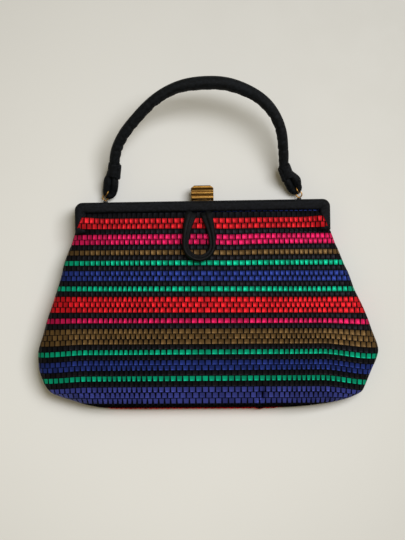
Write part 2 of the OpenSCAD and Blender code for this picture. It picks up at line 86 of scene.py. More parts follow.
def between(tree, value, low, high, to_low=0.0, to_high=1.0, smooth=True):
    """A value taken from one span to another, with a soft start and end or in a straight line."""
    spans = {"Value": value, "From Min": low, "From Max": high, "To Min": to_low, "To Max": to_high}
    step = "SMOOTHSTEP" if smooth else "LINEAR"
    return add(tree, "ShaderNodeMapRange", spans, interpolation_type=step).outputs["Result"]


def mottle(tree, where, scale, detail=3.0, rough=0.5):
    """Cloudy variation of a surface, read at a place on it."""
    feeds = {"Vector": where, "Scale": scale, "Detail": detail, "Roughness": rough}
    return add(tree, "ShaderNodeTexNoise", feeds).outputs["Fac"]


def surface_place(tree):
    """The place of a point of the surface, in metres."""
    return add(tree, "ShaderNodeTexCoord").outputs["Object"]


def two_tone(tree, share, first, second):
    """A colour part of the way from one tone to another."""
    return add(tree, "ShaderNodeMix", {0: share, 6: first, 7: second}, data_type="RGBA").outputs[2]


def raised(tree, shader, height, depth):
    """Fine relief: a height from 0 to 1 stands depth metres out of the surface."""
    bump = add(tree, "ShaderNodeBump", {"Height": height, "Distance": depth, "Strength": 1.0})
    tree.links.new(bump.outputs[0], shader.inputs["Normal"])


def drive(tree, shader, **sockets):
    """Each named socket of the shader takes what another node gives."""
    for name, given in sockets.items():
        tree.links.new(given, shader.inputs[name.replace("_", " ")])


def clad(made, *nodes):
    """Nodes of the frame that keep their shape and take a finish."""
    for node in nodes:
        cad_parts[node].data.materials.clear()
        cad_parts[node].data.materials.append(made)


painted_steel, tree, shader = finish("painted_steel", Metallic=0.35)
place = surface_place(tree)
cloud = mottle(tree, place, 160.0, 5.0)
steel_tone = two_tone(tree, between(tree, cloud, 0.35, 0.7), linear(44, 44, 47), linear(72, 72, 76))
drive(tree, shader, Base_Color=steel_tone, Roughness=between(tree, cloud, 0.3, 0.7, 0.34, 0.56))
raised(tree, shader, mottle(tree, place, 900.0, 2.0), 0.00003)
clad(painted_steel, "rear_frame", "front_frame")

# Hinge rivets, eyes and rings: headed, bent and drawn from brass, polished and long since lacquered.
# The lacquer has yellowed, with browner tarnish in patches and fine wear all over.
# These are exact solids, so they stay and only take the finish.
brass, tree, shader = finish("brass", Metallic=1.0)
place = surface_place(tree)
tarnish = between(tree, mottle(tree, place, 90.0), 0.3, 0.72)
brass_tone = two_tone(tree, tarnish, linear(150, 110, 54), linear(172, 130, 68))
brass_wear = between(tree, mottle(tree, place, 700.0), 0.3, 0.7, 0.24, 0.42)
drive(tree, shader, Base_Color=brass_tone, Roughness=brass_wear)
raised(tree, shader, mottle(tree, place, 1500.0, 2.0), 0.000006)
clad(brass, "hinge_rivets", "eyes", "left_ring", "right_ring")

# Frame covers: a strip of black corded silk pulled tight over each steel half and glued inside.
# It is crowned over the bar, turns over the lip, and is pleated where it rounds the two corners.
top_edge, hinge_line, parting, parting_gap = 97.115, 69.115, 11.9, 0.1
bar, lip, cover_depth, silk = 9.0, 2.5, 11.5, 0.9
corner_x, corner_y, corner_in, corner_out = 99.5, 87.115, 1.0, 6.6
lip_foot, lip_round, top_round, back_round, crown_high = 8.7, 1.7, 3.0, 0.8, 0.5
arm_end, front_slant = hinge_line + 4.6, 3.0


def skin(name, grid, uv=None, round_way=False, capped=False, flip=False):
    """Mesh over a grid of points in mm, one face between each four neighbours.
    round_way joins the last column to the first, and capped closes the first and last rows.
    uv has the same rows, and one more column where the grid goes round."""
    rows, columns = grid.shape[:2]
    across = columns if round_way else columns - 1
    i, j = np.meshgrid(np.arange(rows - 1), np.arange(across), indexing="ij")
    ri = np.stack([i, i, i + 1, i + 1], -1).reshape(-1, 4)
    rj = np.stack([j, j + 1, j + 1, j], -1).reshape(-1, 4)
    if flip:
        ri, rj = ri[:, ::-1], rj[:, ::-1]
    corners = [(ri * columns + rj % columns).ravel()]
    sizes = [np.full(len(ri), 4)]
    if capped:
        first, last = np.arange(columns), (rows - 1) * columns + np.arange(columns)
        corners += [first, last[::-1]] if flip else [first[::-1], last]
        sizes += [np.array([columns, columns])]
    corners, sizes = np.concatenate(corners), np.concatenate(sizes)
    mesh = bpy.data.meshes.new(name)
    mesh.vertices.add(rows * columns)
    mesh.vertices.foreach_set("co", (grid * mm).astype(np.float32).ravel())
    mesh.loops.add(len(corners))
    mesh.loops.foreach_set("vertex_index", corners.astype(np.int32))
    mesh.polygons.add(len(sizes))
    mesh.polygons.foreach_set("loop_start", np.concatenate([[0], np.cumsum(sizes)[:-1]]).astype(np.int32))
    mesh.polygons.foreach_set("loop_total", sizes.astype(np.int32))
    mesh.update(calc_edges=True)
    mesh.polygons.foreach_set("use_smooth", np.ones(len(sizes), bool))
    if uv is not None:
        read = uv[ri, rj].reshape(-1, 2)
        read = np.concatenate([read, np.repeat(uv[:1, :1].reshape(1, 2), len(corners) - len(read), 0)])
        mesh.uv_layers.new(name="cloth").data.foreach_set("uv", read.astype(np.float32).ravel())
    mesh.validate()
    made = bpy.data.objects.new(name, mesh)
    bpy.context.scene.collection.objects.link(made)
    return made


def ease(low, high, value):
    """0 below low, 1 above high, and a soft step between."""
    t = np.clip((value - low) / (high - low), 0, 1)
    return t * t * (3 - 2 * t)


def bow(x, y, radius, start, stop, count):
    """Points on an arc, in degrees."""
    a = np.radians(np.linspace(start, stop, count))
    return np.stack([x + radius * np.cos(a), y + radius * np.sin(a)], 1)


def stretch(points, axis):
    """Running length along a grid of points, from its first row or column."""
    step = np.linalg.norm(np.diff(points, axis=axis), axis=-1)
    return np.concatenate([np.zeros_like(np.take(step, [0], axis)), np.cumsum(step, axis)], axis)


def corded_silk(name, pitch, ink, shine):
    """Black ribbed cloth: fine cords at an even pitch in mm along the strip, crossed by finer threads.
    It is a little paler on the crests of its cords and darker between them."""
    made, tree, shader = finish(name, Specular_IOR_Level=shine)
    cloth = add(tree, "ShaderNodeSeparateXYZ", {0: add(tree, "ShaderNodeUVMap", uv_map="cloth").outputs[0]})
    place = surface_place(tree)
    drift = reckon(tree, "MULTIPLY", mottle(tree, place, 90.0, 3.0), 0.8)
    along = reckon(tree, "ADD", cloth.outputs[0], drift)
    rib = reckon(tree, "SINE", reckon(tree, "MULTIPLY", along, 2 * np.pi / pitch))
    thread_pitch = 0.55 * pitch
    thread = reckon(tree, "SINE", reckon(tree, "MULTIPLY", cloth.outputs[1], 2 * np.pi / thread_pitch))
    height = reckon(tree, "ADD", reckon(tree, "MULTIPLY", rib, 0.5), reckon(tree, "MULTIPLY", thread, 0.22))
    wear = mottle(tree, place, 55.0, 6.0, 0.62)
    grain = reckon(tree, "MULTIPLY", reckon(tree, "SUBTRACT", mottle(tree, place, 500.0, 2.0), 0.5), 2.0)
    tone = reckon(tree, "ADD", reckon(tree, "MULTIPLY", height, 0.22), reckon(tree, "ADD", wear, grain))
    dark, light = linear(*[0.62 * c for c in ink]), linear(*[1.5 * c for c in ink])
    black = two_tone(tree, between(tree, tone, 0.2, 0.85), dark, light)
    drive(tree, shader, Base_Color=black, Roughness=between(tree, wear, 0.3, 0.7, 0.46, 0.66))
    raised(tree, shader, height, 0.00009)
    return made


cover_cloth = corded_silk("cover_silk", 0.9, (13, 14, 17), 0.09)
top_turn, outer_count = (bar - top_round, cover_depth - top_round), 24
contour = np.concatenate([
    [[0.0, lip_foot], [0.0, lip_foot + 0.5]], bow(lip_round, cover_depth - lip_round, lip_round, 180, 90, 7),
    np.stack([np.linspace(2.1, 5.9, 9), np.full(9, cover_depth)], 1), bow(*top_turn, top_round, 90, 0, 9),
    np.stack([np.full(4, bar), np.linspace(7.0, 1.2, 4)], 1),
    bow(bar - back_round, back_round, back_round, 0, -90, 4),
    [[5.0, 0.0], [lip, 0.0], [lip, silk], [5.0, silk], [bar - silk, silk], [bar - silk, top_turn[1]]],
    bow(*top_turn, top_round - silk, 0, 90, 5),
    [[3.0, cover_depth - silk], [silk, cover_depth - silk], [silk, lip_foot]]])


def wrap_frame(name, forward, slant):
    """The contour carried along the arms, corners and bar.
    It goes out from the lip by r and forward from the parting by b.
    The bar is crowned, and at each corner narrow folds fan out from the inner angle.
    The ends of the arms are cut on a slant, lower by slant mm at the outer face, to clear the rivets."""
    arm = np.linspace(arm_end, corner_y, 9)[:-1]
    span = np.linspace(-corner_x, corner_x, 150)[1:-1]
    turn = np.radians(np.linspace(180, 90, 25))
    left_turn = np.stack([np.cos(turn), np.sin(turn)], 1)
    left_corner = np.array([-corner_x, corner_y]) + corner_in * left_turn
    left_foot = np.concatenate([np.stack([np.full(len(arm), -corner_x - corner_in), arm], 1), left_corner])
    left_out = np.concatenate([np.tile([[-1.0, 0.0]], (len(arm), 1)), left_turn])
    middle = np.stack([span, np.full(len(span), corner_y + corner_in)], 1)
    foot = np.concatenate([left_foot, middle, left_foot[::-1] * [-1, 1]])
    out = np.concatenate([left_out, np.tile([[0.0, 1.0]], (len(span), 1)), left_out[::-1] * [-1, 1]])
    reach = corner_in + bar
    lead = (reach - corner_out) * (np.abs(out[:, :1]) + out[:, 1:])
    arc = lead + np.sqrt(np.maximum(0, lead**2 - 2 * (reach - corner_out) ** 2 + corner_out**2))
    most, least = np.abs(out).max(1, keepdims=True), np.abs(out).min(1, keepdims=True)
    full = np.where(least / most * reach < reach - corner_out, reach / most, arc)
    r, b = contour[None, :, 0] * (full - corner_in) / bar, contour[None, :, 1]
    angle = np.degrees(np.arctan2(np.abs(out[:, :1]), out[:, 1:]))
    outer = np.clip((b - 8.6) / 2, 0, 1) * (np.arange(len(contour)) < outer_count)[None]
    crown = crown_high * np.sin(np.pi * np.clip(r / bar, 0, 1)) * outer
    pleats = [(47, 3.5, 0.5), (30, 3.0, 0.26), (64, 3.2, 0.3), (78, 2.5, 0.14), (15, 2.5, 0.12)]
    fold = sum(deep * np.exp(-(((angle - at) / wide) ** 2)) for at, wide, deep in pleats)
    fold = fold * np.clip(1.15 - r / bar, 0, 1) ** 1.4 * outer
    ripple = 0.05 * np.sin(foot[:, :1] * 0.41 + r) * np.sin(foot[:, 1:] * 0.23 + foot[:, :1] * 0.17) * outer
    forth = parting_gap + b + crown - fold + ripple
    flat = foot[:, None] + out[:, None] * r[..., None]
    flat[..., 1] -= slant * ease(5.5, 9, b) * (1 - ease(arm_end, arm_end + 4, foot[:, 1:]))
    grid = np.concatenate([flat, (parting + forward * forth)[..., None]], 2)
    closed = np.concatenate([grid, grid[:, :1]], 1)
    uv = np.stack([stretch(closed, 0), stretch(closed, 1)], -1)
    crest = 20
    uv[..., 0] = uv[:, [crest], 0]
    made = skin(name, grid, uv, round_way=True, capped=True, flip=forward < 0)
    made.data.materials.append(cover_cloth)
    return made


front_cover = wrap_frame("front_cover", 1, front_slant)
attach(front_cover, "front_half")
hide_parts("front_frame_cover")
rear_cover = wrap_frame("rear_cover", -1, 0.0)
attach(rear_cover, "bag")
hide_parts("rear_frame_cover")

# Woven pouch: satin ribbons in rows across fine black warp threads, each row half a block out of step.
# The front is held in the front half of the frame and rolls over its arms; the back lies flat on the table.
# Front, back and base are sewn together at the sides and along the base edge.
row_height, pouch_height, depth = 4.518717, 179.0, 34.0
seat_front, seat_back, rear_half, ribbon = 20.3, 3.5, 101.5, 0.7
ribbon_rise, base_rise, base_bulge, last_row, end_row = 0.6, 0.5, 0.3, 36, 39
fold_x, fold_wide, fold_deep, fold_push = 46.5, 2.4, 5.0, 1.1


def through(table, t):
    """A smooth curve through a table of places and values.
    The slope at each place is taken from its two neighbours."""
    at, value = np.array(table, float).T
    slope = np.gradient(value, at)
    slope[1:-1] = (value[2:] - value[:-2]) / (at[2:] - at[:-2])
    t = np.clip(t, at[0], at[-1])
    i = np.clip(np.searchsorted(at, t, "right") - 1, 0, len(at) - 2)
    wide = at[i + 1] - at[i]
    u = (t - at[i]) / wide
    return (value[i] * (2 * u**3 - 3 * u**2 + 1) + slope[i] * wide * (u**3 - 2 * u**2 + u)
            + value[i + 1] * (3 * u**2 - 2 * u**3) + slope[i + 1] * wide * (u**3 - u**2))


def half_width(d):
    """Half the width of the pouch at a drop below the frame's top edge.
    It flares to the fullest place and tucks in to the base."""
    return through([
        (0, 108.0), (34.5, 112.8), (41.4, 115.7), (48.3, 118.4), (55.2, 120.9), (62.1, 123.2), (69, 125.4),
        (75.8, 127.6), (82.7, 130.4), (89.6, 133.2), (96.5, 135.9), (103.3, 138.3), (110.2, 140.4),
        (117.1, 142.8), (124, 145.2), (130, 146.2), (137.7, 145.1), (144.6, 143.2), (151.5, 140.8),
        (158.4, 138), (163, 135.2), (165.5, 132.4), (167.5, 128), (169.6, 122.6), (171.3, 117.2),
        (173.9, 108.2), (175.6, 100.2), (177.3, 90.4), (178.3, 82), (179, 72)], d)


def level_front(d):
    """Height of the front panel's middle above the table."""
    t = np.clip((d - bar) / (pouch_height - bar), 0, 1)
    rise = through([
        (0, 0), (0.1, 0.058), (0.2, 0.3), (0.3, 0.55), (0.4, 0.76), (0.48, 0.89), (0.55, 0.96), (0.62, 0.97),
        (0.7, 0.9), (0.77, 0.78), (0.83, 0.64), (0.88, 0.5), (0.92, 0.37), (0.95, 0.23), (0.97, 0.06),
        (0.985, -0.4), (1, -1.05)], t)
    return seat_front + (depth - ribbon - seat_front) * rise


def level_back(d):
    """Height of the back panel above the table."""
    t = np.clip((d - bar) / (pouch_height - bar), 0, 1)
    settle = np.maximum(0, through([(0, 1), (0.07, 0.9), (0.14, 0.4), (0.2, 0), (1, 0)], t))
    lift = np.maximum(0, through([(0, 0), (0.965, 0), (0.985, 0.01), (1, 0.03)], t))
    return ribbon + (seat_back - ribbon) * settle + depth * lift


def middle_x(d):
    """Sideways place of the pouch's middle.
    It slumps to the right half way down, and its base sits to the left."""
    return through([
        (0, 0), (9, 0), (21, -0.2), (34.5, 0.1), (55, 0.4), (62, 1.4), (76, 1.8), (90, 2.7), (110, 3),
        (124, 3.2), (131, 2.8), (138, 1.8), (145, 0.5), (158, 0), (165, 1.2), (169.6, 2.6), (172, 2.4),
        (174, 0.6), (175.6, -2), (177.3, -4.5), (179, -11)], d)


def tip(d):
    """How far the rows drop for each mm to the right: the pouch has turned a little under the frame."""
    return through([
        (0, 0.009), (9, 0.009), (19, 0.0068), (33, 0.0085), (53, 0.0115), (76, 0.0158), (96, 0.0155),
        (116, 0.012), (131, 0.01), (151, 0.01), (166, 0.0105), (179, 0.012)], d)


def seam_level(d):
    """Height of the side seam, half way between back and front."""
    return (level_front(d) + level_back(d)) / 2


def front_edge(d):
    """Half width of the front panel: under the lip at the bar, then out over the arm, then down the side."""
    near = through([
        (0, 99.4), (9, 99.6), (10.5, 100.1), (11.5, 101.2), (12.5, 102.4), (15.7, 104.2), (19, 105.6),
        (22.6, 107.2), (24.5, 108.3), (27, 110.2), (34.5, 112.8), (52, 119.7)], d)
    return near + (half_width(d) - near) * ease(30, 40, d)


def front_point(d, r, inset=0.0):
    """A point of the front panel: d is the drop, r runs from -1 at the left edge to 1 at the right.
    The section is a flattened oval, which lower down becomes a flat front.
    Its soft corners turn to the sides, the left one further out than the right."""
    reach = np.abs(r)
    oval = np.maximum(0, 1 - reach**4.76) ** 0.325
    turn, blunt = np.where(r < 0, 0.845, 0.775), 0.016
    past = blunt * np.log1p(np.exp(np.clip((reach - turn) / blunt, -40, 40)))
    flat_front = 1 - 0.05 * np.minimum(reach / turn, 1) ** 2 - 0.5 * past / (1 - turn)
    boxed = flat_front * np.maximum(0, 1 - reach**34) ** 0.4
    lower = ease(82, 128, d) * (1 - 0.4 * ease(166, 178, d))
    over_lip = through([
        (0, -0.4), (8.9, -0.3), (10.5, 0.5), (13, 1.7), (18, 2.7), (26, 3.1), (36, 2.5), (50, 1.3), (70, 0.4),
        (90, 0)], d)
    over_arm = through([
        (0, 19.9), (9.3, 19.9), (10, 20.6), (10.8, 23), (11.4, 24.2), (12.2, 24.5), (17, 24.5), (21.8, 24.4),
        (24.7, 20), (28, 11.9)], d)
    crest = level_front(d) + over_lip
    edge = np.where(d > 28, seam_level(d), over_arm)
    wide = front_edge(d)
    roll = 1.1 * np.exp(-(((wide * (1 - reach) - 4.5) / 3.6) ** 2)) * ease(10, 15, d) * (1 - ease(24, 34, d))
    x = middle_x(d) + (wide - inset) * r
    long_wave = 0.55 * np.sin(x / 33 + 1.1) * np.sin(d / 37 + 0.4)
    short_wave = 0.4 * np.sin(x / 15 + d / 23) * np.sin(d / 19 - x / 51)
    slack = (long_wave + short_wave) * ease(14, 40, d) * (1 - reach**6)
    z = edge + (crest - edge) * (oval + (boxed - oval) * lower) + roll + slack - inset
    return np.stack(np.broadcast_arrays(x, top_edge - d - tip(d) * x, z), -1)


def base_fold(grid, d):
    """The one fold that runs up from the base edge: it presses the front in and pushes the edge down."""
    crease = np.exp(-(((grid[..., 0] - fold_x - 0.1 * (pouch_height - 1 - d)) / fold_wide) ** 2))
    pressed = fold_deep * ease(154, 167, d) * (1 - 0.9 * ease(166, 176, d))
    return np.stack([0 * crease, -fold_push * crease * ease(171, 178, d), -pressed * crease], -1)


def back_point(d, r, inset=0.0):
    """A point of the back panel: flat on the table, curling up at the sides to meet the front's seam."""
    reach = np.abs(r)
    low, seam = level_back(d), seam_level(d)
    wide = rear_half + (front_edge(d) - rear_half) * ease(21.5, 28, d)
    z = low + (seam - low) * (1 - np.minimum(1, 1.1 * np.maximum(0, 1 - reach**4.76) ** 0.25))
    x = middle_x(d) + (wide - inset) * r
    return np.stack(np.broadcast_arrays(x, top_edge - d - tip(d) * x, z + inset), -1)


def evenly(points, count):
    """Each row of a grid of places read again at even steps along its length.
    The rows' running lengths are laid end to end and read in one go."""
    run = stretch(points, 1)
    shift = 2.0 * np.arange(len(points))[:, None]
    want = (np.linspace(0, 1, count)[None] + shift).ravel()
    have = (run / run[:, -1:] + shift).ravel()
    turns = np.linspace(-1, 1, points.shape[1])[None].repeat(len(points), 0)
    return np.interp(want, have, turns.ravel()).reshape(len(points), count)


def toward_edges(share, power):
    """Places from -1 to 1 drawn out towards both edges: the sine of a quarter turn, raised to a power."""
    return np.sign(share) * np.abs(np.sin(np.abs(share) * np.pi / 2)) ** power


def row_dip(x, d):
    """How far a row hangs below its even place.
    It goes down towards the lower corners, up beside the arms, and sags beside the pull loop."""
    low = ease(84, 135, d) * (1 - ease(158, 177, d))
    corner = 5.2 * ease(98, 146, x) + 2.4 * ease(100, 142, -x)
    arms = -1.2 * ease(82, 104, np.abs(x)) * (1 - ease(12, 26, d)) * ease(9, 11, d)
    sag = 0.8 * np.exp(-(((x - 24) / 18) ** 2)) * np.exp(-(((d - 34) / 18) ** 2))
    return corner * low + arms + sag


def row_drop(v):
    """Drop of a row's line below the frame's top edge: an even pitch and a little slack.
    The last rows are crowded into the base edge, where the last line ends."""
    at_end = pouch_height - bar - end_row * row_height
    slack = through([
        (-1, 0.45), (0, 0.45), (1, 1.05), (5, 1.2), (10, 1.15), (12, 1.04), (14.5, 0.84), (20.5, 0.74),
        (26.5, 0.34), (29, 0.25), (31.5, 0.44), (33, 0.9), (34.5, 1.4), (last_row, 2.3), (37, 0.2),
        (38, -2.3), (end_row, at_end)], v)
    return bar + v * row_height + slack


def columns_at(x):
    """Count of warp columns from the middle: the running sum of one over the pitch, which drifts sideways."""
    place = np.linspace(-230, 230, 921)
    pitch = through([
        (-230, 5.1), (-150, 5.2), (-106, 4.75), (-66, 4.1), (-40, 5.0), (0, 5.6), (42, 5.2), (87, 4.0),
        (124, 5.0), (150, 5.2), (230, 5.1)], place)
    count = np.cumsum(1 / pitch) * (place[1] - place[0])
    return np.interp(x, place, count - np.interp(0, place, count))


def thread_pull(x, d):
    """Share of a block's width that its warp threads pull in: most lower down and where columns crowd."""
    crowd = 0.22 * np.exp(-(((x + 66) / 34) ** 2)) + 0.2 * np.exp(-(((x - 88) / 32) ** 2))
    return (0.1 + crowd) * (0.5 + 0.5 * ease(20, 90, d))


def weave_rise(u, v, pull):
    """Height of the ribbons from 0 to 1.
    Each block is arched between two warp threads, and each row falls away at its edges.
    The threads pull the blocks narrower by a share, at the top of even rows and at the foot of odd ones."""
    row = np.floor(v)
    odd = np.mod(row, 2)
    block = u + 0.5 * odd
    a, b = 2 * (block - np.floor(block)) - 1, 2 * (v - row) - 1
    narrow = 1 - pull * (0.5 + (odd - 0.5) * b)
    return (0.2 + 0.8 * np.maximum(0, 1 - (a / narrow) ** 2)) * (1 - np.abs(b) ** 5)


def outward(grid):
    """Unit normals of a grid of points, from the slopes along its rows and columns."""
    n = np.cross(np.gradient(grid, axis=1), np.gradient(grid, axis=0))
    return n / np.maximum(np.linalg.norm(n, axis=2, keepdims=True), 1e-9)


def ribbon_weave(name, bands):
    """Ribbon cloth: the row number picks the stripe's colour from a list of first rows.
    Thin dark warp threads part the blocks, and each block differs a little in tone.
    The satin throws back coloured light, as a metal does, down to the black rows of the base edge."""
    made, tree, shader = finish(name)
    cloth = add(tree, "ShaderNodeSeparateXYZ", {0: add(tree, "ShaderNodeUVMap", uv_map="cloth").outputs[0]})
    u, v = cloth.outputs[0], cloth.outputs[1]
    metal, specular = (between(tree, v, last_row - 0.2, last_row + 0.2, gloss, 0.0) for gloss in (0.34, 0.05))
    row = reckon(tree, "FLOOR", v)
    odd = reckon(tree, "PINGPONG", row, 1.0)
    block = reckon(tree, "ADD", u, reckon(tree, "MULTIPLY", odd, 0.5))
    down_row = reckon(tree, "FRACT", v)
    pull = add(tree, "ShaderNodeAttribute", attribute_name="pull").outputs["Fac"]
    slant = reckon(tree, "ABSOLUTE", reckon(tree, "SUBTRACT", reckon(tree, "SUBTRACT", 1.0, odd), down_row))
    drawn_in = reckon(tree, "MULTIPLY", reckon(tree, "MULTIPLY", pull, 0.5), slant)
    off_block = reckon(tree, "ABSOLUTE", reckon(tree, "SUBTRACT", reckon(tree, "FRACT", block), 0.5))
    off_row = reckon(tree, "ABSOLUTE", reckon(tree, "SUBTRACT", down_row, 0.5))
    warp = reckon(tree, "SUBTRACT", reckon(tree, "SUBTRACT", 0.5, drawn_in), off_block)
    gap = reckon(tree, "SUBTRACT", 0.5, off_row)
    seen = reckon(tree, "MULTIPLY", between(tree, warp, 0.04, 0.15), between(tree, gap, 0.02, 0.1))
    ramp_rows = 48
    along_ramp = between(tree, row, -1.5, ramp_rows - 1.5, smooth=False)
    ramp = add(tree, "ShaderNodeValToRGB", {"Fac": along_ramp})
    ramp.color_ramp.interpolation = "CONSTANT"
    stops = ramp.color_ramp.elements
    while len(stops) < len(bands):
        stops.new(0.5)
    for stop, (first, colour) in zip(stops, bands):
        stop.position, stop.color = (first + 1) / ramp_rows, colour
    spot = add(tree, "ShaderNodeCombineXYZ", {0: reckon(tree, "FLOOR", block), 1: row}).outputs[0]
    chance = add(tree, "ShaderNodeTexWhiteNoise", {"Vector": spot}, noise_dimensions="2D").outputs["Value"]
    fibre_feeds = {0: reckon(tree, "MULTIPLY", u, 0.7), 1: reckon(tree, "MULTIPLY", v, 26.0)}
    fibre = mottle(tree, add(tree, "ShaderNodeCombineXYZ", fibre_feeds).outputs[0], 1.0)
    block_tone = between(tree, chance, 0, 1, 0.7, 1.24, False)
    tone = reckon(tree, "MULTIPLY", block_tone, between(tree, fibre, 0.25, 0.75, 0.8, 1.16))
    lit = reckon(tree, "MULTIPLY", seen, tone)
    shade = add(tree, "ShaderNodeVectorMath", {0: ramp.outputs[0], 3: lit}, operation="SCALE").outputs[0]
    thread = linear(4, 4, 5)[:3]
    colour = add(tree, "ShaderNodeVectorMath", {0: shade, 1: thread}, operation="ADD").outputs[0]
    dull = between(tree, seen, 0, 1, 0.75, 0.4, False)
    drive(tree, shader, Base_Color=colour, Roughness=dull, Metallic=metal, Specular_IOR_Level=specular)
    height = reckon(tree, "ADD", reckon(tree, "MULTIPLY", fibre, 0.3), reckon(tree, "MULTIPLY", seen, 0.7))
    raised(tree, shader, height, 0.00012)
    return made


ink, red, pink = linear(20, 19, 22), linear(193, 22, 30), linear(187, 21, 75)
ochre, green, blue = linear(94, 71, 39), linear(2, 154, 115), linear(32, 47, 112)
# The low blue rows and the red base row are coloured brighter than their ribbons: painted light on rows that
# slope away from the window.
blue_with_painted_light, red_with_painted_light, red_with_painted_shade = linear(58, 65, 139), linear(250, 36, 44), linear(176, 21, 28)
# The top red rows under the bar are coloured darker than the red ribbons: painted shade under the bar.
stripes = [
    (-1, blue), (0, ink), (1, red_with_painted_shade), (3, ink), (4, pink), (6, ink), (7, ochre), (8, ink), (9, green),
    (10, ink), (11, blue), (13, ink), (14, green), (15, ink), (16, red), (19, ink), (20, pink), (21, ink),
    (22, ochre), (25, ink), (26, green), (27, ink), (28, blue), (30, ink), (31, green), (32, ink),
    (33, blue_with_painted_light), (last_row, ink), (38, red_with_painted_light)]
panel_cloth = ribbon_weave("ribbon_cloth", stripes)
within_row = np.array([0.0, 0.1, 0.3, 0.7, 0.9])
row_lines = np.append((np.arange(-1, end_row)[:, None] + within_row).ravel(), float(end_row))


def keep_pull(made, pull):
    """The threads' pull at each point of a panel, kept for its cloth to read."""
    kept = made.data.attributes.new("pull", "FLOAT", "POINT")
    kept.data.foreach_set("value", pull.astype(np.float32).ravel())


def weave_panel(name, place, columns, sign):
    """One panel of the pouch: even places along each row, rows hung by row_dip.
    The ribbons then rise along the surface's normal.
    The front's last rows go down the steep base edge, and the flat back ends with one even row."""
    lines = row_lines if sign > 0 else row_lines[row_lines <= last_row + 1]
    even = row_drop(last_row) + (lines - last_row) * (pouch_height - row_drop(last_row))
    d = (row_drop(lines) if sign > 0 else np.where(lines > last_row, even, row_drop(lines)))[:, None]
    edge_power = 0.42
    fine = toward_edges(np.linspace(-1, 1, 1201)[None], edge_power)
    r = toward_edges(evenly(place(d, fine), columns), edge_power)
    base = place(d, r)
    drop = np.clip(d + row_dip(base[..., 0], d), bar - 5, pouch_height)
    base = place(drop, r)
    run = stretch(base, 1)
    centre = run[:, [columns // 2]]
    u = columns_at(run - centre + base[:, [columns // 2], 0])
    v = np.broadcast_to(lines[:, None], u.shape)
    fade = ease(9.2, 10.6, drop) * (1 - ease(0.985, 1.0, np.abs(r)))
    base = base + base_fold(base, drop) if sign > 0 else base
    pull = thread_pull(base[..., 0], d)
    grid = base + sign * outward(base) * (ribbon_rise * weave_rise(u, v, pull) * fade)[..., None]
    made = skin(name, grid, np.stack([u, v], -1), flip=sign > 0)
    keep_pull(made, pull)
    made.data.materials.append(panel_cloth)
    return made


woven_front = weave_panel("woven_front", front_point, 445, 1)
woven_back = weave_panel("woven_back", back_point, 445, -1)

# The base's red row takes the same brighter red: painted light.
base_stripes = [(-1, ink), (38, red_with_painted_light), (40, ink)]
base_cloth = ribbon_weave("base_cloth", base_stripes)
across = toward_edges(np.linspace(-1, 1, 281)[None], 0.7)
share = np.linspace(0, 1, 34)[:, None]
base_drop = np.full((1, 1), pouch_height)
front_lip, back_lip = front_point(base_drop, across), back_point(base_drop, across)
front_lip = front_lip + base_fold(front_lip, base_drop)
base_grid = front_lip + (back_lip - front_lip) * share[..., None]
base_grid[..., 1] -= base_bulge * np.sin(np.pi * share) ** 0.6 * (1 - np.abs(across) ** 5)
base_u, base_v = columns_at(base_grid[..., 0]), end_row + 1.2 * share + 0 * across
base_pull = thread_pull(base_grid[..., 0], pouch_height)
base_grid[..., 1] -= base_rise * weave_rise(base_u, base_v, base_pull) * np.sin(np.pi * share) ** 0.3
woven_base = skin("woven_base", base_grid, np.stack([base_u, base_v], -1), flip=True)
keep_pull(woven_base, base_pull)
woven_base.data.materials.append(base_cloth)

ribbon_nodes = ("red_ribbons", "pink_ribbons", "ochre_ribbons", "green_ribbons", "blue_ribbons")
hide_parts("woven_body", *ribbon_nodes)
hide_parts("woven_body", *ribbon_nodes)
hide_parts("woven_body")
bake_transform(woven_front)
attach(woven_back, "bag")
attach(woven_base, "bag")

# Lining: two panels of thin black satin, a little smaller than the pouch and sewn to its rim.
# They hang a little slack inside, with shallow gathers where they go into the frame.
lining_satin, tree, shader = finish("lining_satin", Sheen_Weight=0.1, Specular_IOR_Level=0.4)
place = surface_place(tree)
grain = mottle(tree, place, 260.0, 4.0)
satin_tone = two_tone(tree, between(tree, grain, 0.3, 0.7), linear(14, 14, 17), linear(34, 33, 38))
drive(tree, shader, Base_Color=satin_tone, Roughness=between(tree, grain, 0.3, 0.7, 0.38, 0.55))
raised(tree, shader, mottle(tree, place, 1400.0, 2.0), 0.00004)
lining_inset, lining_low = 2.6, 172


def lining_panel(name, place, sign):
    """A panel inside the pouch, inset from it, with gathers that fade downwards."""
    d = np.linspace(9.6, lining_low, 70)[:, None]
    r = np.sin(np.linspace(-1, 1, 161) * np.pi / 2)[None]
    grid = place(d, r, lining_inset)
    grid = grid + base_fold(grid, d) if sign > 0 else grid
    x = grid[..., 0]
    gather = 0.55 * np.sin(x * 0.52 + 0.6 * np.sin(x * 0.11)) * np.exp(-(d - bar) / 22) * (1 - np.abs(r) ** 8)
    grid[..., 2] -= sign * np.abs(gather)
    made = skin(name, grid, flip=sign < 0)
    made.data.materials.append(lining_satin)
    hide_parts("lining")
    return made


lining_front = lining_panel("lining_front", front_point, 1)
lining_back = lining_panel("lining_back", back_point, -1)
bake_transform(lining_front)
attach(lining_back, "bag")

# Posts: two short black collars on the top of the rear half, which carry the eyes.
# They are turned from rod and dipped in enamel, which has dried a little uneven.
enamel, tree, shader = finish("black_enamel", Specular_IOR_Level=0.25, Coat_Weight=0.08, Coat_Roughness=0.25)
uneven = mottle(tree, surface_place(tree), 420.0, 4.0)
enamel_tone = two_tone(tree, between(tree, uneven, 0.3, 0.75), linear(8, 8, 9), linear(24, 23, 24))
drive(tree, shader, Base_Color=enamel_tone, Roughness=between(tree, uneven, 0.3, 0.7, 0.3, 0.5))
clad(enamel, "posts")
